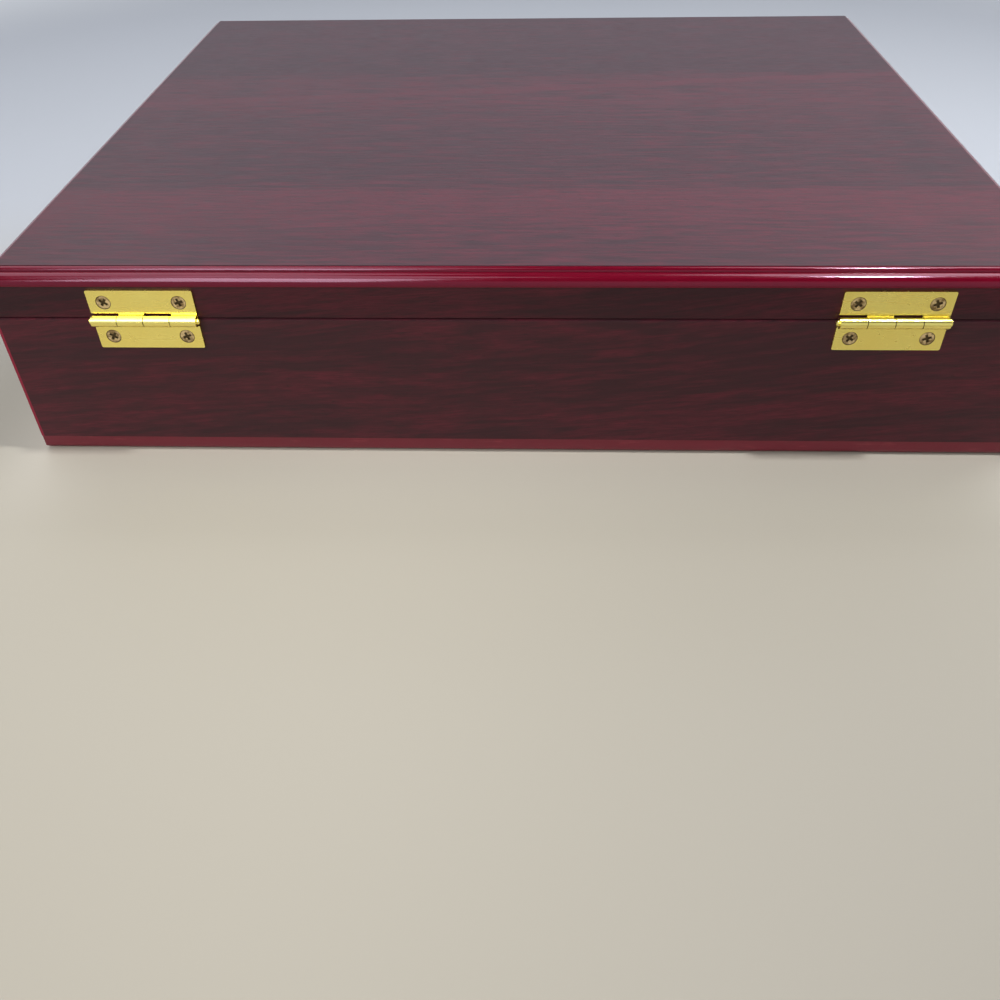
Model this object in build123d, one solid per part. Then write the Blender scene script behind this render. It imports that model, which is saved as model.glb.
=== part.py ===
from build123d import *
from math import acos, degrees
import os

# A flat hinged box for papers and keepsakes, shut. Millimetres, +Z up, front towards -Y,
# hinges towards +Y. The origin is the middle of the underside, on the table.

# The box as a whole
box_width = 360.0
box_depth = 306.0
base_height = 56.0
rail_height = 11.9
wall_thickness = 9.0
corner_round = 0.7
seam_gap = 0.3
edge_ease = 0.4

# Bottom board under the walls
base_panel_thickness = 6.0
base_panel_inset = 0.1
base_panel_round = 2.4

# Moulded lid board on top of the rails
lid_panel_thickness = 5.0
lid_overhang = 0.5
moulding_width = 5.0
bead_radius = 1.4
foil_thickness = 0.2
foil_margin = 0.2

# Velvet-covered boards inside
lining_thickness = 2.0
pad_thickness = 3.0
lining_clearance = 0.3
lining_below_rim = 1.0
lining_edge_ease = 0.6

# Brass butt hinges on the outside of the back
hinge_length = 36.0
hinge_a_from_end = 53.2
hinge_b_from_end = 57.2
leaf_reach = 10.9
leaf_thickness = 0.85
leaf_corner_round = 0.6
pin_radius = 1.0
pin_running_clearance = 0.05
pin_proud = 0.9
pin_end_chamfer = 0.3
knuckle_count = 4
knuckle_gap = 0.25
curl_gap = 0.1
notch_clearance = 0.55
hinge_screw_spacing = 25.5
hinge_screw_row = 6.45

# Countersunk cross-head screws of the hinges
screw_head_radius = 2.3
screw_shank_radius = 1.4
screw_length = 8.0
screw_sink = 0.15
screw_clearance = 0.04
recess_width = 0.9
recess_length = 3.0
recess_depth = 0.5
first_screw_turn = 20.0
screw_turn_step = 37.0

# Swing hook and its two studs on the front
hook_below_seam = 7.0
stud_neck_radius = 1.3
stud_head_radius = 2.4
stud_head_height = 1.1
stud_head_ease = 0.5
stud_tail = 6.0
hook_thickness = 1.0
hook_clearance = 0.12
hook_running_clearance = 0.06
hook_eye_radius = 3.2
hook_arm_width = 4.2
hook_end_radius = 3.4
hook_mouth_angle = 45.0
hook_tab_radius = 1.7
hook_tab_reach = 4.6

# Places that follow from the sizes above
seam_top = base_height + seam_gap
rail_top = seam_top + rail_height
barrel_radius = pin_radius + pin_running_clearance + leaf_thickness
axis_y = box_depth / 2 + barrel_radius
axis_z = base_height + seam_gap / 2
hook_z = base_height - hook_below_seam
keeper_z = seam_top + rail_height / 2
inner_width = box_width - 2 * wall_thickness
inner_depth = box_depth - 2 * wall_thickness
sides = {"back": 0, "left": 90, "front": 180, "right": 270}

parts = {}


def side_lengths(side, width, depth):
    """Length along this side of a rectangle, and how far the side lies from the middle."""
    if side in ("front", "back"):
        return width, depth / 2
    return depth, width / 2


# Mitred frames: the base walls and the lid rails

def frame_ring(low, height, seam_at_top):
    """A four-sided frame with rounded outer corners and its outer edge eased at the seam."""
    outline = RectangleRounded(box_width, box_depth, corner_round) - Rectangle(inner_width, inner_depth)
    ring = Pos(0, 0, low) * extrude(outline, height)
    seam_face = ring.faces().sort_by(Axis.Z)[-1 if seam_at_top else 0]
    return chamfer(seam_face.outer_wire().edges(), edge_ease)


def mitre_wedge(side, low, height):
    """The space of one side of the frame, between the two planes of its mitres."""
    length, offset = side_lengths(side, box_width, box_depth)
    half = length / 2
    beyond = corner_round
    within = 1.5 * wall_thickness
    outline = Polyline(
        (-half - beyond, offset + beyond),
        (half + beyond, offset + beyond),
        (half - within, offset - within),
        (-half + within, offset - within),
        close=True,
    )
    return Rot(0, 0, sides[side]) * Pos(0, 0, low) * extrude(make_face(outline), height)


def add_frame(name, low, height, seam_at_top):
    """Cuts the frame at its mitres into four pieces."""
    ring = frame_ring(low, height, seam_at_top)
    for side in sides:
        parts[f"{name}_{side}"] = ring & mitre_wedge(side, low, height)


add_frame("base_wall", base_panel_thickness, base_height - base_panel_thickness, True)
add_frame("lid_rail", seam_top, rail_height, False)


# Bottom board, glued under the walls

def base_panel():
    """A flat board, a little smaller than the walls, with its lower edge rounded all round."""
    width = box_width - 2 * base_panel_inset
    depth = box_depth - 2 * base_panel_inset
    board = Box(width, depth, base_panel_thickness, align=(Align.CENTER, Align.CENTER, Align.MIN))
    board = fillet(board.faces().sort_by(Axis.Z)[0].edges(), base_panel_round)
    return board & extrude(RectangleRounded(width, depth, corner_round), base_panel_thickness)


parts["base_panel"] = base_panel()


# Moulded lid board and the foil on its flat

def moulded_section(span):
    """The board's outline across one direction: a flat, a bead, an ovolo and a flat underside."""
    half = span / 2
    top = lid_panel_thickness
    land = half - moulding_width
    crease = (land + bead_radius, top - bead_radius)
    side = [
        Line((0, top), (land, top)),
        RadiusArc((land, top), crease, bead_radius),
        RadiusArc(crease, (half, 0), moulding_width - bead_radius),
        Line((half, 0), (0, 0)),
    ]
    return make_face(side + [mirror(edge, Plane.YZ) for edge in side])


def lid_panel():
    """Both directions' mouldings run through to the corners, where they meet in a mitre."""
    width = box_width + 2 * lid_overhang
    depth = box_depth + 2 * lid_overhang
    across = extrude(Plane.XZ * moulded_section(width), depth / 2, both=True)
    along = extrude(Plane.YZ * moulded_section(depth), width / 2, both=True)
    return Pos(0, 0, rail_top) * (across & along)


parts["lid_panel"] = lid_panel()

land_width = box_width + 2 * lid_overhang - 2 * moulding_width
land_depth = box_depth + 2 * lid_overhang - 2 * moulding_width
lid_foil = extrude(Rectangle(land_width - 2 * foil_margin, land_depth - 2 * foil_margin), foil_thickness)
parts["lid_top_foil"] = Pos(0, 0, rail_top + lid_panel_thickness) * lid_foil


# Velvet-covered boards: a pad on the flat and a strip on each wall, in the base and in the lid

def lining_board(length, depth, height, shown):
    """A flat board sitting on the plane Z = 0, with the edges of the face that shows eased."""
    board = Box(length, depth, height, align=(Align.CENTER, Align.CENTER, Align.MIN))
    return chamfer(board.faces().sort_by(shown)[-1].edges(), lining_edge_ease)


def add_linings(name, pad_name, low, high, pad_low, pad_shown):
    """Strips from low to high against the four walls, and a pad between them."""
    free_width = inner_width - 2 * lining_clearance
    free_depth = inner_depth - 2 * lining_clearance
    strip_room = lining_thickness + lining_clearance
    for side, turn in sides.items():
        length, offset = side_lengths(side, free_width, free_depth)
        if side in ("left", "right"):
            length -= 2 * strip_room
        strip = lining_board(length, lining_thickness, high - low, -Axis.Y)
        placed = Pos(0, offset - lining_thickness / 2, low) * strip
        parts[f"{name}_{side}"] = Rot(0, 0, turn) * placed
    pad_width = free_width - 2 * strip_room
    pad_depth = free_depth - 2 * strip_room
    pad = lining_board(pad_width, pad_depth, pad_thickness, pad_shown)
    parts[f"{name}_{pad_name}"] = Pos(0, 0, pad_low) * pad


base_lining_low = base_panel_thickness + lining_clearance
base_lining_high = base_height - lining_below_rim
add_linings("base_lining", "floor", base_lining_low, base_lining_high, base_lining_low, Axis.Z)

lid_lining_low = seam_top + lining_below_rim
lid_lining_high = rail_top - lining_clearance
lid_pad_low = lid_lining_high - pad_thickness
add_linings("lid_lining", "top", lid_lining_low, lid_lining_high, lid_pad_low, -Axis.Z)


# Countersunk cross-head screws. Each points along -Y, with the leaf's outer face at Y = 0.

def screw_hole():
    """The hole in leaf and wood: a cone through the leaf, then a bore as long as the screw."""
    slope = (screw_head_radius - screw_shank_radius) / (leaf_thickness - screw_sink)
    bore = screw_shank_radius + screw_clearance
    outline = Polyline(
        (0, 0),
        (screw_head_radius + slope * screw_sink + screw_clearance, 0),
        (bore, -leaf_thickness),
        (bore, -screw_length - screw_clearance),
        (0, -screw_length - screw_clearance),
        close=True,
    )
    return revolve(make_face(outline), Axis.Y)


def screw(turn):
    """One screw, its flat head sunk a little below the leaf and its cross turned as it was left."""
    outline = Polyline(
        (0, -screw_sink),
        (screw_head_radius, -screw_sink),
        (screw_shank_radius, -leaf_thickness),
        (screw_shank_radius, -screw_length),
        (0, -screw_length),
        close=True,
    )
    arm = Rectangle(recess_length, recess_width)
    cross = extrude(Plane.XZ * (arm + Rot(0, 0, 90) * arm), recess_depth)
    return revolve(make_face(outline), Axis.Y) - Rot(0, turn, 0) * Pos(0, -screw_sink, 0) * cross


def add_screws(name, places, bored):
    """Puts a screw at each place and bores every named piece for it."""
    for node in bored:
        for place in places:
            parts[node] = parts[node] - place * screw_hole()
    turns = [first_screw_turn + screw_turn_step * number for number in range(len(places))]
    parts[name] = Compound(children=[place * screw(turn) for place, turn in zip(places, turns)])


# Butt hinges. A leaf is one stamping: a plate with notches, and two tongues rolled into knuckles.
# Here the pin's middle is the origin, the wall's face is at Y = -barrel_radius and the plate runs up.

def strip_section():
    """Outline of a tongue: up the wall, then rolled round the pin until it nearly meets itself."""
    bore = pin_radius + pin_running_clearance
    end_angle = degrees(acos((leaf_thickness + curl_gap) / barrel_radius - 1))
    turn = 180 + end_angle
    outer = CenterArc((0, 0), barrel_radius, 180, turn)
    inner = CenterArc((0, 0), bore, 180, turn)
    height = barrel_radius + notch_clearance + leaf_thickness
    outline = [
        outer,
        Line(outer @ 1, inner @ 1),
        inner,
        Line((-bore, 0), (-bore, height)),
        Line((-bore, height), (-barrel_radius, height)),
        Line((-barrel_radius, height), (-barrel_radius, 0)),
    ]
    return make_face(outline)


def hinge_leaf():
    """Plate above the notches, with tongues on every other knuckle place from the low-X end."""
    notch_edge = barrel_radius + notch_clearance
    plate = Box(
        hinge_length,
        leaf_thickness,
        leaf_reach - notch_edge,
        align=(Align.CENTER, Align.MIN, Align.MIN),
    )
    outer_corners = plate.edges().filter_by(Axis.Y).group_by(Axis.Z)[-1]
    plate = fillet(outer_corners, leaf_corner_round)
    leaf = Pos(0, -barrel_radius, notch_edge) * plate
    pitch = hinge_length / knuckle_count
    tongue = extrude(Plane.YZ * strip_section(), (pitch - knuckle_gap) / 2, both=True)
    for place in range(0, knuckle_count, 2):
        leaf += Pos((place + 0.5) * pitch - hinge_length / 2, 0, 0) * tongue
    return leaf


def hinge_pin():
    """A plain pin whose ends stand a little proud of the knuckles."""
    pin = Rot(0, 90, 0) * Cylinder(pin_radius, hinge_length + 2 * pin_proud)
    return chamfer(pin.edges().filter_by(GeomType.CIRCLE), pin_end_chamfer)


def leaf_screw_places(upward):
    """Two places in a row on a leaf, on the plate's outer face."""
    height = hinge_screw_row if upward else -hinge_screw_row
    face = leaf_thickness - barrel_radius
    return [Pos(side * hinge_screw_spacing / 2, face, height) for side in (-1, 1)]


for letter, centre_x in (
    ("a", box_width / 2 - hinge_a_from_end),
    ("b", hinge_b_from_end - box_width / 2),
):
    hinge_place = Pos(centre_x, axis_y, axis_z)
    parts[f"hinge_lid_leaf_{letter}"] = hinge_place * hinge_leaf()
    parts[f"hinge_base_leaf_{letter}"] = hinge_place * Rot(0, 180, 0) * hinge_leaf()
    parts[f"hinge_pin_{letter}"] = hinge_place * hinge_pin()
    for half, upward, wall in (("lid", True, "lid_rail_back"), ("base", False, "base_wall_back")):
        add_screws(
            f"hinge_{half}_screws_{letter}",
            [hinge_place * spot for spot in leaf_screw_places(upward)],
            [f"hinge_{half}_leaf_{letter}", wall],
        )


# Swing hook on the front. It turns on a headed stud in the base, and hooks a like stud in the lid.
# Sketches on the XZ plane rise from the wall towards the front.

front_face = Pos(0, -box_depth / 2, 0)
stud_head_low = hook_thickness + 2 * hook_clearance
hook_reach = keeper_z - hook_z


def turned_on_front(outline_points, centre_z):
    """Turns an outline, given as radius and height proud of the wall, about a line square to the front."""
    outline = make_face(Polyline(*[(r, -h) for r, h in outline_points], close=True))
    return front_face * Pos(0, 0, centre_z) * revolve(outline, Axis.Y)


def stud(centre_z):
    """Tail in the wood, neck as long as the hook needs, and a flat head with its edge eased."""
    head_top = stud_head_low + stud_head_height
    outline_points = [
        (0, -stud_tail),
        (stud_neck_radius, -stud_tail),
        (stud_neck_radius, stud_head_low),
        (stud_head_radius, stud_head_low),
        (stud_head_radius, head_top - stud_head_ease),
        (stud_head_radius - stud_head_ease, head_top),
        (0, head_top),
    ]
    return turned_on_front(outline_points, centre_z)


def stud_hole(centre_z):
    """The bore in the wood for a stud's tail."""
    bore = stud_neck_radius + screw_clearance
    bottom = -stud_tail - screw_clearance
    return turned_on_front([(0, bottom), (bore, bottom), (bore, 0), (0, 0)], centre_z)


def hook():
    """The hook as it hangs: eye, arm, thumb tab, and a mouth that is open on the side it swings to."""
    end = Pos(0, -hook_reach)
    tab_end = Pos(-hook_tab_reach, -hook_reach)
    outline = Circle(hook_eye_radius) + end * Circle(hook_end_radius)
    outline += Pos(0, -hook_reach / 2) * Rectangle(hook_arm_width, hook_reach)
    outline += Pos(-hook_tab_reach / 2, -hook_reach) * Rectangle(hook_tab_reach, 2 * hook_tab_radius)
    outline += tab_end * Circle(hook_tab_radius)
    outline -= Circle(stud_neck_radius + hook_running_clearance)
    mouth_line = CenterArc((0, 0), hook_reach, -90, hook_mouth_angle)
    outline -= SlotArc(mouth_line, 2 * (stud_neck_radius + hook_clearance))
    flat = extrude(Plane.XZ * outline, hook_thickness)
    return front_face * Pos(0, -hook_clearance, hook_z) * flat


parts["hook"] = hook()
for name, wall, centre_z in (
    ("hook_pivot_stud", "base_wall_front", hook_z),
    ("hook_keeper_stud", "lid_rail_front", keeper_z),
):
    parts[name] = stud(centre_z)
    parts[wall] = parts[wall] - stud_hole(centre_z)


os.makedirs("parts", exist_ok=True)
for name, shape in parts.items():
    export_step(shape, f"parts/{name}.step")
print(len(parts), "nodes")
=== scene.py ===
import math

import bmesh
import bpy
from mathutils import Matrix, Vector, noise


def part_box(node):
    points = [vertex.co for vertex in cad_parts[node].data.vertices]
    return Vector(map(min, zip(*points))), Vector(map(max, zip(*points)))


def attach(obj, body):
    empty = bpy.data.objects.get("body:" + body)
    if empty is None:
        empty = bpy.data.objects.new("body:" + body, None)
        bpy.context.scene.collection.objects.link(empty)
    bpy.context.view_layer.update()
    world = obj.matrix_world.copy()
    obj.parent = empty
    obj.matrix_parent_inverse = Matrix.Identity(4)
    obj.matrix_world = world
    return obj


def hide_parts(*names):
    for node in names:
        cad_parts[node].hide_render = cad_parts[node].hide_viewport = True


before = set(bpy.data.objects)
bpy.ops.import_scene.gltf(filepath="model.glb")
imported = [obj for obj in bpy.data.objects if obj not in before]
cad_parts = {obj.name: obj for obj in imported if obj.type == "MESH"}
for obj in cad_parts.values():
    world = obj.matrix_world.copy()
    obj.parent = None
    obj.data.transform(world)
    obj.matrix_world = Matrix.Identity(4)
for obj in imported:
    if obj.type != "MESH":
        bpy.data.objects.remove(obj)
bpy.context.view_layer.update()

scene = bpy.context.scene
scene.view_settings.view_transform = "Standard"


# Camera
# It looks down over the back of the shut box, from just above the near edge of the lid. Its place,
# turn and lens were worked out from the box's own right angles.
lens_data = bpy.data.cameras.new("camera")
lens_data.lens = 34.2
lens_data.sensor_width = 36.0
lens_data.clip_start = 0.01
camera = bpy.data.objects.new("camera", lens_data)
scene.collection.objects.link(camera)
camera_place = Vector((-0.0047, 0.4327, 0.2186))
heading, tilt, roll = math.radians(182.62), math.radians(49.11), math.radians(-1.19)
camera.matrix_world = (
    Matrix.Translation(camera_place)
    @ Matrix.Rotation(heading, 4, "Z")
    @ Matrix.Rotation(tilt, 4, "X")
    @ Matrix.Rotation(roll, 4, "Z")
)
scene.camera = camera


# Floor
# A wide plain floor, warm and pale by the box and cooler beyond it, which holds the box's shadow.
# Beside the box's back wall its tone is painted paler still, as painted light against the box's own
# shade, and on the overhead lamp's side it is painted a little darker, as painted shade against that
# lamp's brighter light.
# Far off, the rays of the camera, of reflections and of clear glass show the pale backdrop instead.

class Wire:
    """One output of a material's nodes, which is reckoned with like a number."""

    def __init__(self, socket):
        self.socket = socket

    def node(self, kind, settings=(), inputs=(), output=0):
        """Adds a node, makes its settings, fills its sockets and gives one of its outputs."""
        tree = self.socket.id_data
        added = tree.nodes.new("ShaderNode" + kind)
        for name, value in dict(settings).items():
            if name == "stops":
                ramp = added.color_ramp
                while len(ramp.elements) < len(value):
                    ramp.elements.new(0.5)
                for element, (position, colour) in zip(ramp.elements, value):
                    element.position = position
                    element.color = (*colour, 1)
            else:
                setattr(added, name, value)
        for name, value in dict(inputs).items():
            if isinstance(value, Wire):
                tree.links.new(value.socket, added.inputs[name])
            else:
                added.inputs[name].default_value = value
        return Wire(added.outputs[output])

    def maths(self, operation, *values, clamp=False):
        """A Math node's answer for numbers and wires."""
        return self.node("Math", {"operation": operation, "use_clamp": clamp}, enumerate(values))

    def __add__(self, other):
        return self.maths("ADD", self, other)

    def __radd__(self, other):
        return self.maths("ADD", other, self)

    def __sub__(self, other):
        return self.maths("SUBTRACT", self, other)

    def __rsub__(self, other):
        return self.maths("SUBTRACT", other, self)

    def __mul__(self, other):
        return self.maths("MULTIPLY", self, other)

    def __rmul__(self, other):
        return self.maths("MULTIPLY", other, self)

    def __abs__(self):
        return self.maths("ABSOLUTE", self)


def new_finish(name, constants):
    """A material whose shader has these constants, and the wire of the piece's own coordinates."""
    material = bpy.data.materials.new(name)
    material.use_nodes = True
    shader = material.node_tree.nodes["Principled BSDF"]
    for socket_name, value in constants.items():
        shader.inputs[socket_name].default_value = value
    place = material.node_tree.nodes.new("ShaderNodeTexCoord")
    return material, Wire(place.outputs["Object"])


def feed(material, wires):
    """Leads wires to the sockets of a material's shader."""
    shader = material.node_tree.nodes["Principled BSDF"]
    for socket_name, wire in wires.items():
        material.node_tree.links.new(wire.socket, shader.inputs[socket_name])


def apart(place):
    """The three coordinates of a place as wires of their own."""
    return [place.node("SeparateXYZ", (), {0: place}, output=number) for number in range(3)]


def together(x, y, z):
    """Three wires as one place."""
    return x.node("CombineXYZ", (), {0: x, 1: y, 2: z})


def cloudy(place, scale, detail=2.0, roughness=0.5):
    """Soft noise round one half, with this many swells to the metre."""
    return place.node("TexNoise", (), {0: place, "Scale": scale, "Detail": detail, "Roughness": roughness})


def rising(value, low, high):
    """Nought below low, one above high, and a smooth rise between."""
    sockets = {"Value": value, "From Min": low, "From Max": high}
    return value.node("MapRange", {"interpolation_type": "SMOOTHSTEP"}, sockets)


def tinted(share, colour, other):
    """A colour that goes to the other one as the share goes from nought to one."""
    mixed = {0: share}
    for socket_number, value in ((6, colour), (7, other)):
        mixed[socket_number] = value if isinstance(value, Wire) else (*value, 1)
    return share.node("Mix", {"data_type": "RGBA"}, mixed, output=2)


def bumped(height, depth, strength=1.0):
    """The normal of a surface whose height goes from nought to one over this depth in metres."""
    return height.node("Bump", (), {"Height": height, "Distance": depth, "Strength": strength})


def mesh_piece(name, form, materials):
    """An object from a bmesh, smooth where its faces meet at less than forty degrees."""
    mesh = bpy.data.meshes.new(name)
    form.to_mesh(mesh)
    form.free()
    mesh.shade_smooth()
    mesh.set_sharp_from_angle(angle=math.radians(40))
    piece = bpy.data.objects.new(name, mesh)
    scene.collection.objects.link(piece)
    for material in materials:
        mesh.materials.append(material)
    return piece


floor_reach = 4.0
floor_form = bmesh.new()
bmesh.ops.create_grid(floor_form, x_segments=2, y_segments=2, size=floor_reach)
floor_finish, place = new_finish("pale_floor", {"Roughness": 0.6})
floor_x, floor_y, _ = apart(place)
warm_at_box = (0.455, 0.42, 0.345)
warm_at_camera = (0.385, 0.352, 0.285)
painted_light_beside_box = (0.62, 0.58, 0.49)
painted_shade_right = (0.0, 0.0, 0.01)
cool_beyond = (0.52, 0.55, 0.60)
cloud_tone = (0.5, 0.48, 0.43)
warm_tone = tinted(rising(floor_y, 0.16, 0.42), warm_at_box, warm_at_camera)
# Painted light: the floor beside the back wall of the box, in the box's own shade, is given a paler tone.
close_to_box = (1 - rising(floor_y, 0.150, 0.200)) * (1 - rising(abs(floor_x), 0.165, 0.210))
warm_tone = tinted(close_to_box, warm_tone, painted_light_beside_box)
# Painted shade: the floor on the overhead lamp's side is darkened against that lamp's brighter light.
warm_tone = tinted(0.25 * (1 - rising(floor_x, -0.13, 0.08)), warm_tone, painted_shade_right)
floor_tone = tinted(rising(floor_y, -0.08, 0.12), cool_beyond, warm_tone)
feed(floor_finish, {"Base Color": tinted(cloudy(place, 5.0) * 0.1, floor_tone, cloud_tone)})
backdrop = (0.60, 0.63, 0.68)
fade_start = 0.55
fade_end = 0.80


def showing_rays(wire):
    """One for a ray of the camera, and one for a ray of a reflection or of clear glass, as two wires."""
    from_camera, glossy, through_glass = [
        wire.node("LightPath", output=f"Is {kind} Ray") for kind in ("Camera", "Glossy", "Transmission")
    ]
    return from_camera, wire.maths("ADD", glossy, through_glass, clamp=True)


from_middle = place.node("VectorMath", {"operation": "LENGTH"}, {0: place}, output="Value")
from_camera, mirrored = showing_rays(place)
far_off = rising(from_middle, fade_start, fade_end) * place.maths("ADD", from_camera, mirrored, clamp=True)
floor_tree = floor_finish.node_tree
lit_floor = Wire(floor_tree.nodes["Principled BSDF"].outputs["BSDF"])
pale_glow = place.node("Emission", (), {"Color": (*backdrop, 1)})
shown_floor = far_off.node("MixShader", (), {0: far_off, 1: lit_floor, 2: pale_glow})
floor_tree.links.new(shown_floor.socket, floor_tree.nodes["Material Output"].inputs["Surface"])
floor = mesh_piece("floor", floor_form, [floor_finish])


# Studio light
# A small lamp and a soft halo nearly overhead on the right, broad panels on the left and behind,
# and a dim surround, bright behind the box, whose low part shows as the pale backdrop.
world = bpy.data.worlds.new("surround")
scene.world = world
world.use_nodes = True
world_shader = world.node_tree.nodes["Background"]
way = Wire(world.node_tree.nodes.new("ShaderNodeTexCoord").outputs["Generated"])
_, way_y, way_z = apart(way)
turn_over = way_z.maths("ARCTAN2", way_z, way_y) * (180 / math.pi)
surround = turn_over.node("ValToRGB", {"stops": [
    (0.00, (0.05, 0.05, 0.05)), (0.45, (0.06, 0.06, 0.06)), (0.75, (0.16, 0.17, 0.20)),
    (0.82, (1.15, 1.23, 1.48)), (0.90, (0.72, 0.78, 0.95)), (1.00, (0.44, 0.48, 0.58)),
]}, {0: abs(turn_over) * (1 / 180)})
from_camera, mirrored = showing_rays(way)
backdrop_top = math.sin(math.radians(30.0))
surround_start = math.sin(math.radians(41.3))
below_top = 1 - rising(way_z, backdrop_top, surround_start)
backdrop_share = way.maths("ADD", from_camera, mirrored * below_top, clamp=True)
shown_world = tinted(backdrop_share, surround, backdrop)
world.node_tree.links.new(shown_world.socket, world_shader.inputs["Color"])
world_shader.inputs["Strength"].default_value = 1.0


def soft_lamp(name, place, aim, size, radiance):
    """A rectangular lamp of this radiance, turned so that it shines at a point."""
    lamp_data = bpy.data.lights.new(name, "AREA")
    lamp_data.shape = "RECTANGLE"
    lamp_data.size, lamp_data.size_y = size
    lamp_data.energy = radiance * math.pi * size[0] * size[1]
    lamp = bpy.data.objects.new(name, lamp_data)
    scene.collection.objects.link(lamp)
    lamp.location = place
    towards = Vector(aim) - Vector(place)
    lamp.rotation_euler = towards.to_track_quat("-Z", "Y").to_euler()
    lamp.visible_camera = False
    return lamp


moulding_middle = (0.08, 0.15, 0.07)
soft_lamp("overhead_lamp", (-0.31, 0.178, 0.65), aim=(0.0, 0.178, 0.0), size=(0.05, 0.05), radiance=375.0)
soft_lamp("overhead_halo", (-0.42, -0.12, 0.75), aim=(-0.12, 0.12, 0.0), size=(0.34, 0.50), radiance=4.5)
soft_lamp("side_panel", (0.49, -0.14, 0.85), aim=(0.1, 0.12, 0.0), size=(0.75, 0.66), radiance=1.9)
soft_lamp("near_panel", (0.36, 0.81, 0.71), aim=moulding_middle, size=(0.40, 0.52), radiance=7.4)
# The last two show in reflections alone, on the left of the moulding and on the far part of the lid.
upper_panel = soft_lamp(
    "upper_panel", (0.30, 0.43, 0.93), aim=moulding_middle, size=(0.45, 0.62), radiance=2.4)
rear_panel = soft_lamp(
    "rear_panel", (0.0, -1.70, 0.98), aim=(0.0, 0.0, 0.07), size=(2.60, 0.75), radiance=0.42)
rear_panel.data.color = (0.86, 0.93, 1.20)
for panel in (upper_panel, rear_panel):
    panel.visible_diffuse = False


# Bottom board
# Fibreboard glued under the walls. Its edge is lacquered crimson, rather matt, and rounded below.
lacquer_red = (0.160, 0.006, 0.020)
lighter_red = (0.195, 0.009, 0.028)
worn_red = (0.42, 0.06, 0.08)
board_finish, place = new_finish("bottom_board_lacquer", {"Specular IOR Level": 0.5})
x, y, z = apart(place)
mottle = cloudy(place, 60.0, 4.0)
rub = rising(cloudy(together(x * 0.35, y * 0.35, z * 2.0), 260.0, 4.0), 0.56, 0.72)
tone = tinted(mottle, lacquer_red, lighter_red)
tone = tinted(rub * 0.2, tone, worn_red)
feed(board_finish, {
    "Base Color": tone,
    "Roughness": 0.34 + 0.14 * mottle,
    "Normal": bumped(cloudy(place, 900.0, 3.0), 0.00003),
})


def dress(node, material):
    """Gives a piece of the frame its finish, in place of the one that it came with."""
    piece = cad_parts[node]
    piece.data.materials.clear()
    piece.data.materials.append(material)
    return piece


dress("base_panel", board_finish)


# Walls of the base
# Four mitred fibreboard walls in a printed foil of dark mahogany, rubbed dull along the seam. The
# foil ends short of the rounded corners, where the crimson lacquer under it shows as a thin line;
# that line is painted brighter than the lacquer, as a painted highlight on the rounded corner.
seam_middle = (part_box("base_wall_back")[1].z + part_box("lid_rail_back")[0].z) / 2
seam_reach = 0.0004
rubbed_reach = 0.0007
foil_setback = 0.0012
line_width = 0.0002
foil_end_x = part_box("base_wall_right")[1].x - foil_setback
foil_end_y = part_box("base_wall_back")[1].y - foil_setback


def printed_wood(name, along_x, sway, slant, depth, flames, streaks, shine, zone_of=None):
    """The foil's print and its satin surface. Sway is how far the grain lines swerve, in metres,
    slant how steeply they climb, depth how strong the print's colours are, flames how much of it is
    short dark flames, streaks how strongly its fine lines are drawn, and shine its specular level.
    Where zone_of is given, it says how red the print is from place to place."""
    material, place = new_finish(name, {"Specular IOR Level": shine})
    x, y, z = apart(place)
    along, across = (x, y + z) if along_x else (y, x + z)
    swerve = cloudy(together(along * 4.0, across * 10.0, 0.0), 1.0, detail=1.0)
    ripple = cloudy(together(along * 18.0, across * 60.0, 4.0), 1.0, detail=1.0)
    line_at = across + slant * along + sway * (swerve - 0.5) + 0.12 * sway * (ripple - 0.5)

    def drawn(long_scale, short_scale, seed, detail):
        """Noise that is drawn out along the grain."""
        return cloudy(together(along * long_scale, line_at * short_scale, seed), 1.0, detail)

    zone = 0.8 * rising(drawn(7.0, 75.0, seed=1.0, detail=3.0), 0.34, 0.66)
    darkest, reddest = -0.15, 1.15
    if zone_of:
        zone = 0.15 * zone + 0.85 * zone_of(line_at, along)
        darkest, reddest = 0.02, 0.85
    flame = rising(drawn(42.0, 300.0, seed=6.0, detail=4.0), 0.32, 0.68)
    streak = rising(drawn(48.0, 620.0, seed=2.0, detail=3.0), 0.32, 0.68)
    fine = rising(drawn(150.0, 1900.0, seed=3.0, detail=2.0), 0.30, 0.70)
    pore = rising(drawn(260.0, 2400.0, seed=5.0, detail=1.0), 0.60, 0.70)

    dark = [0.046 * depth, 0.0075 * depth, 0.0140 * depth]
    red = [0.088 * depth, 0.0065 * depth, 0.0175 * depth]
    light = [0.170 * depth, 0.0200 * depth, 0.0360 * depth]
    black = [0.018 * depth, 0.0050 * depth, 0.0075 * depth]
    redness = rising(zone + flames * (flame - 0.5) + 0.5 * streaks * (streak - 0.5), darkest, reddest)
    tone = tinted(redness, dark, red)
    tone = tinted((1 - streak) * (0.45 * streaks), tone, black)
    tone = tinted(fine * redness * (0.45 * streaks), tone, light)
    tone = tinted((1 - fine) * (0.40 * streaks), tone, black)
    tone = tinted(pore * (0.7 * streaks), tone, black)
    if not zone_of:
        # The thin line of crimson lacquer at the corners, painted brighter than the lacquer as a painted
        # highlight on the rounded corner.
        line = rising(abs(x), foil_end_x - line_width, foil_end_x)
        line = line * rising(abs(y), foil_end_y - line_width, foil_end_y)
        corner_lacquer_with_highlight = (0.30, 0.010, 0.040)
        tone = tinted(line, tone, corner_lacquer_with_highlight)
    relief = 1 - 0.8 * pore + 0.25 * fine
    rim = 1 - rising(abs(z - seam_middle), seam_reach, rubbed_reach)
    feed(material, {
        "Base Color": tone,
        "Roughness": 0.395 + 0.05 * cloudy(place, 75.0, 3.0) + 0.06 * fine + 0.45 * rim,
        "Normal": bumped(relief, 0.00004, 0.6),
    })
    return material


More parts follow.
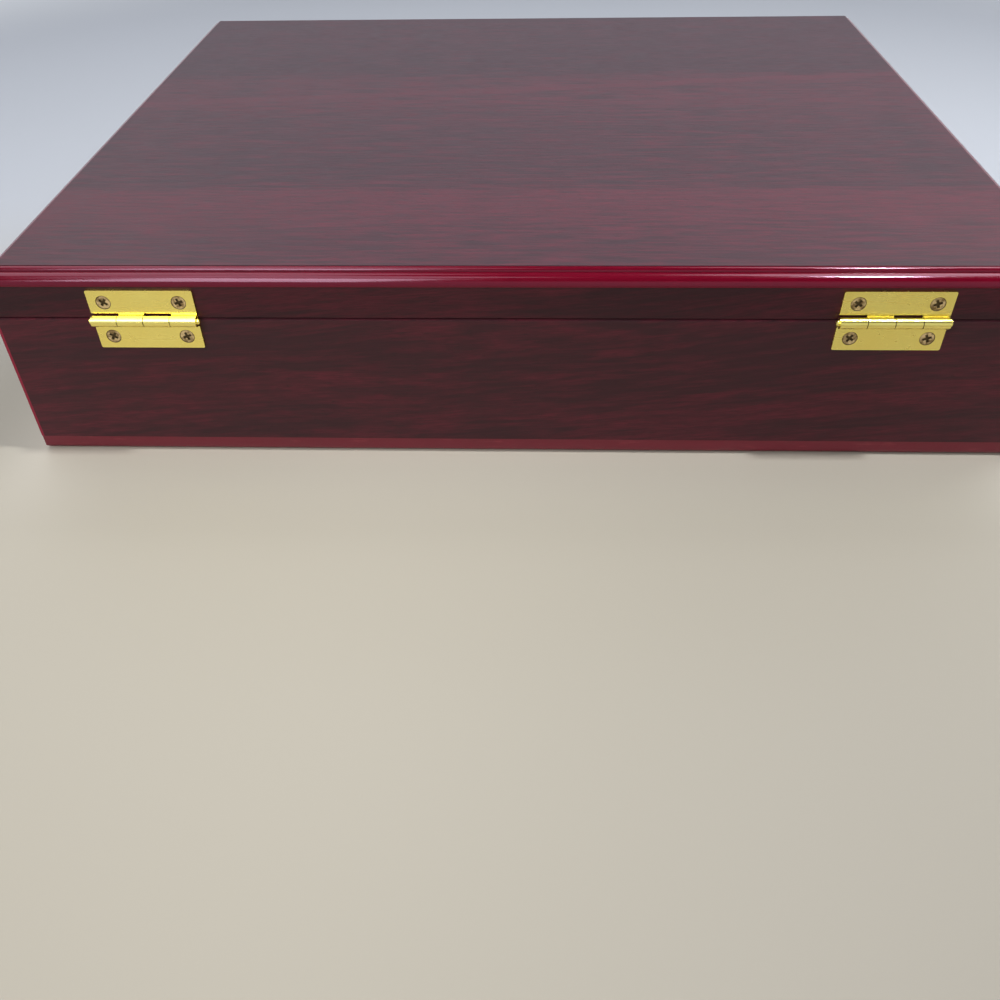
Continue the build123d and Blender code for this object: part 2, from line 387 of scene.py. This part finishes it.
long_foil = printed_wood(
    "mahogany_foil_long_sides", along_x=True, sway=0.022, slant=0.08, depth=1.08,
    flames=0.55, streaks=0.6, shine=0.36)
end_foil = printed_wood(
    "mahogany_foil_ends", along_x=False, sway=0.018, slant=0.06, depth=1.08,
    flames=0.55, streaks=0.6, shine=0.36)
foil_of_side = {"front": long_foil, "back": long_foil, "left": end_foil, "right": end_foil}
for side, foil in foil_of_side.items():
    dress(f"base_wall_{side}", foil)


# Linings of the base
# A floor board and four wall boards of thin card, padded and covered in black velvet, pushed in.
velvet, place = new_finish("black_velvet", {
    "Sheen Weight": 0.45,
    "Sheen Roughness": 0.45,
    "Sheen Tint": (0.75, 0.72, 0.80, 1),
    "Specular IOR Level": 0.15,
})
pile = cloudy(place, 2600.0, 2.0)
brushed = cloudy(place, 34.0, 4.0, 0.6)
laid_flat = (0.010, 0.009, 0.011)
raised = (0.030, 0.027, 0.033)
feed(velvet, {
    "Base Color": tinted(brushed, laid_flat, raised),
    "Roughness": 0.75 + 0.2 * pile,
    "Normal": bumped(0.6 * pile + 0.8 * brushed, 0.0003, 0.7),
})


def steps_across(length, soft_edge, pitch):
    """Places from one edge to the other: close together at the rounded edges, then evenly spaced."""
    edge = [soft_edge * share for share in (0.0, 0.08, 0.25, 0.5, 0.75, 1.0)]
    inner = length - 2 * soft_edge
    count = max(2, round(inner / pitch))
    middle = [soft_edge + inner * number / count for number in range(1, count)]
    return edge + middle + [length - distance for distance in reversed(edge)]


def padded_board(name, body, facing):
    """A lining that replaces its plain solid: flat behind, rounded at the edges, softly crowned."""
    low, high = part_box(name)
    normal_axis = max(range(3), key=lambda axis: abs(facing[axis]))
    first_axis, second_axis = [axis for axis in range(3) if axis != normal_axis]
    upward = facing[normal_axis] > 0
    back = low[normal_axis] if upward else high[normal_axis]
    thickness = high[normal_axis] - low[normal_axis]
    lengths = high - low
    soft_edge = 0.0022
    longest_step = 0.008
    rim_share = 0.45
    swell_share = 0.05
    pitch = min(longest_step, lengths[second_axis] / 5)
    first_steps = steps_across(lengths[first_axis], soft_edge, longest_step)
    second_steps = steps_across(lengths[second_axis], min(soft_edge, lengths[second_axis] / 4), pitch)
    crown = 0.12 * thickness

    def point(first, second, height):
        """The place this far along the two sides of the board, and this high over its flat back."""
        spot = Vector((0, 0, 0))
        spot[first_axis] = low[first_axis] + first
        spot[second_axis] = low[second_axis] + second
        spot[normal_axis] = back + (height if upward else -height)
        return spot

    def height_at(first, second):
        """Nearly the full thickness, falling in a quarter round at the edges."""
        height = 1.0
        middle = 1.0
        for distance, length in ((first, lengths[first_axis]), (second, lengths[second_axis])):
            inward = min(distance, length - distance)
            edge = min(1.0, inward / min(soft_edge, length / 4))
            height = min(height, rim_share + (1 - rim_share) * math.sqrt(1 - (1 - edge) ** 2))
            middle *= math.sin(math.pi * distance / length) ** 0.5
        swell = noise.noise(point(first, second, 0) * 24) * swell_share
        return thickness * height * (1 + swell * middle) - crown * (1 - middle) * height

    form = bmesh.new()
    front = [[form.verts.new(point(a, b, height_at(a, b))) for b in second_steps] for a in first_steps]
    for row, next_row in zip(front, front[1:]):
        for number in range(len(row) - 1):
            form.faces.new((row[number], next_row[number], next_row[number + 1], row[number + 1]))
    last_a, last_b = len(first_steps) - 1, len(second_steps) - 1
    ring = [(a, 0) for a in range(last_a)] + [(last_a, b) for b in range(last_b)]
    ring += [(a, last_b) for a in range(last_a, 0, -1)] + [(0, b) for b in range(last_b, 0, -1)]
    back_ring = [form.verts.new(point(first_steps[a], second_steps[b], 0)) for a, b in ring]
    for number, (a, b) in enumerate(ring):
        next_number = (number + 1) % len(ring)
        next_a, next_b = ring[next_number]
        form.faces.new((front[a][b], back_ring[number], back_ring[next_number], front[next_a][next_b]))
    form.faces.new(back_ring)
    bmesh.ops.recalc_face_normals(form, faces=form.faces)
    piece = mesh_piece(name + "_velvet", form, [velvet])
    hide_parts(name)
    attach(piece, body)


inward = {"back": (0, -1, 0), "front": (0, 1, 0), "left": (1, 0, 0), "right": (-1, 0, 0)}
for side, facing in inward.items():
    padded_board(f"base_lining_{side}", "base", facing)
padded_board("base_lining_floor", "base", (0, 0, 1))


# Rails of the lid
# Four low mitred rails under the lid board, wrapped in strips of the same foil as the walls,
# printed darker as painted shade under the overhang of the lid board.
# Painted shade: these copies of the foil have a lower depth, so their print is darker, for the shade under
# the lid board's overhang.
shaded_long_rail_foil = printed_wood(
    "mahogany_foil_long_rails_painted_shade", along_x=True, sway=0.022, slant=0.08, depth=0.84,
    flames=0.55, streaks=0.6, shine=0.30)
shaded_end_rail_foil = printed_wood(
    "mahogany_foil_end_rails_painted_shade", along_x=False, sway=0.018, slant=0.06, depth=0.84,
    flames=0.55, streaks=0.6, shine=0.30)
for side in inward:
    dress(f"lid_rail_{side}", shaded_long_rail_foil if side in ("front", "back") else shaded_end_rail_foil)


# Lid board
# One board whose edge is moulded with a small bead and an ovolo, sprayed in glossy crimson lacquer.
gloss, place = new_finish("glossy_crimson_lacquer", {"Specular Tint": (1.0, 0.68, 0.90, 1)})
x, y, z = apart(place)
flow = cloudy(place, 130.0, 3.0)
drag = cloudy(together(x * 12.0, y * 12.0, z * 900.0), 1.0)
deep_crimson = (0.12, 0.0004, 0.009)
light_crimson = (0.155, 0.0008, 0.013)
feed(gloss, {
    "Base Color": tinted(flow, deep_crimson, light_crimson),
    "Roughness": 0.09 + 0.08 * flow,
    "Normal": bumped(0.7 * flow + 0.3 * drag, 0.00006, 0.5),
})
dress("lid_panel", gloss)


# Foil on the lid
# The same printed foil laid on the flat of the lid board, to just short of its moulding. Its print
# has redder bands, which run from end to end.
band_start, band_end = -0.153, 0.153
red_bands = (
    (-0.145, 0.22), (-0.068, 0.12), (-0.054, 0.05), (-0.042, 0.50), (-0.024, 0.40), (-0.010, 0.55),
    (0.008, 0.32), (0.060, 0.22), (0.084, 0.28), (0.091, 0.80), (0.108, 0.72), (0.128, 0.42), (0.150, 0.38),
)
skew_start = 0.028
skew_slope = 0.11
skew_reach = 0.005
skew_red = 0.60


def lid_bands(across, along):
    """How red the print is at a line across the lid, where across is the depth plus the lid's height.
    One more band runs a little askew, from the far right towards the middle of the left."""
    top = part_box("lid_top_foil")[1].z
    depth_at = across - top
    share = (depth_at - band_start) * (1 / (band_end - band_start))
    stops = [((at - band_start) / (band_end - band_start), (red,) * 3) for at, red in red_bands]
    bands = share.node("ValToRGB", {"stops": stops}, {0: share})
    off_skew = abs(depth_at + skew_start - skew_slope * along)
    return bands + skew_red * (1 - rising(off_skew, 0.0, skew_reach))


lid_foil = printed_wood(
    "mahogany_foil_lid", along_x=True, sway=0.005, slant=0.0, depth=0.88,
    flames=0.30, streaks=0.7, shine=0.45, zone_of=lid_bands)
dress("lid_top_foil", lid_foil)


# Linings of the lid
# A board under the lid board and four strips on the rails, in the same velvet.
for side, facing in inward.items():
    padded_board(f"lid_lining_{side}", "lid", facing)
padded_board("lid_lining_top", "lid", (0, 0, -1))


# Hinges
# Two stamped butt hinges of brass-plated steel, screwed to the outside. Each leaf has two knuckles
# rolled round the pin. The plating is bright, with faint rolling lines and a few dull spots.
brass, place = new_finish("brass_plating", {"Metallic": 1.0})
x, y, z = apart(place)
rolled = cloudy(together(x * 40.0, y * 900.0, z * 900.0), 1.0, 3.0)
spots = rising(cloudy(place, 420.0, 3.0), 0.66, 0.76)
tarnish = cloudy(place, 90.0, 3.0)
warm_brass = (1.0, 0.81, 0.21)
pale_brass = (1.0, 0.88, 0.27)
spot_brown = (0.55, 0.38, 0.12)
tone = tinted(tarnish, warm_brass, pale_brass)
feed(brass, {
    "Base Color": tinted(spots * 0.08, tone, spot_brown),
    "Roughness": 0.255 + 0.03 * rolled + 0.06 * spots,
    "Normal": bumped(rolled, 0.000006, 0.3),
})


def soften(piece, width):
    """Rounds the sharp edges of a piece of the frame by this width."""
    bevel = piece.modifiers.new("soft_edges", "BEVEL")
    bevel.width = width
    bevel.segments = 2
    bevel.limit_method = "ANGLE"
    bevel.angle_limit = math.radians(50)
    bevel.use_clamp_overlap = True
    return piece


# A dark brassy finish for recesses and gaps: partly grime, partly painted shade where the light does not
# reach.
brass_grime_and_painted_shade, place = new_finish("brass_grime_and_painted_shade", {"Metallic": 0.6, "Roughness": 0.6})
dark_grime_and_shade = (0.06, 0.038, 0.014)
light_grime_and_shade = (0.14, 0.095, 0.035)
feed(brass_grime_and_painted_shade, {"Base Color": tinted(cloudy(place, 900.0), dark_grime_and_shade, light_grime_and_shade)})


def paint_grime_and_shade(piece, chosen):
    """Gives the faces that are chosen by their middle and their normal a dark finish of grime and painted
    shade.
    """
    piece.data.materials.append(brass_grime_and_painted_shade)
    for face in piece.data.polygons:
        if chosen(face.center, face.normal):
            face.material_index = 1


hinge_end_margin = 0.0005
barrel_radius = 0.0025
face_margin = 0.0001
for letter in "ab":
    soften(dress(f"hinge_pin_{letter}", brass), 0.00012)
    barrel_z = sum(corner.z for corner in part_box(f"hinge_pin_{letter}")) / 2
    for half in ("lid", "base"):
        leaf_name = f"hinge_{half}_leaf_{letter}"
        leaf = soften(dress(leaf_name, brass), 0.00008)
        leaf_low, leaf_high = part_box(leaf_name)
        leaf_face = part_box(f"hinge_{half}_screws_{letter}")[1].y

        def between_knuckles(middle, normal):
            """The ends of the knuckles, apart from the two at the ends of the hinge."""
            inside = leaf_low.x + hinge_end_margin < middle.x < leaf_high.x - hinge_end_margin
            return inside and abs(normal.x) > 0.9 and abs(middle.z - barrel_z) < barrel_radius

        def countersunk(middle, normal):
            """The cones that the screws' heads sit in."""
            return leaf_low.y < middle.y < leaf_face + face_margin and 0.5 < normal.y < 0.95

        # Painted shade with grime: the ends of the inner knuckles and the screws' countersinks are given
        # the dark finish.
        paint_grime_and_shade(leaf, lambda middle, normal: between_knuckles(middle, normal) or countersunk(middle, normal))


# Screws of the hinges
# Eight small countersunk cross-head wood screws in dull brass, sunk level with the leaves.
dull_brass, place = new_finish("dull_brass", {"Metallic": 1.0})
grime = cloudy(place, 700.0, 4.0)
stained = (0.26, 0.17, 0.075)
rubbed_clean = (0.82, 0.63, 0.34)
recess_depth = 0.0006
recess_margin = 0.00005
feed(dull_brass, {
    "Base Color": tinted(rising(grime, 0.34, 0.66), stained, rubbed_clean),
    "Roughness": 0.30 + 0.25 * grime,
    "Normal": bumped(grime, 0.00004, 0.5),
})
for letter in "ab":
    for half in ("lid", "base"):
        screws_name = f"hinge_{half}_screws_{letter}"
        head_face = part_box(screws_name)[1].y
        recess_floor = head_face - recess_depth
        recess_top = head_face - recess_margin
        screws = soften(dress(screws_name, dull_brass), 0.00005)
        # Painted shade with grime: the screws' cross recesses are given the dark finish.
        paint_grime_and_shade(screws, lambda middle, normal: recess_floor < middle.y < recess_top and normal.y > -0.2)


# Hook on the front
# A flat brass hook that swings on a headed stud in the base, and catches a like stud in the lid.
for node in ("hook", "hook_pivot_stud", "hook_keeper_stud"):
    soften(dress(node, brass), 0.00018)
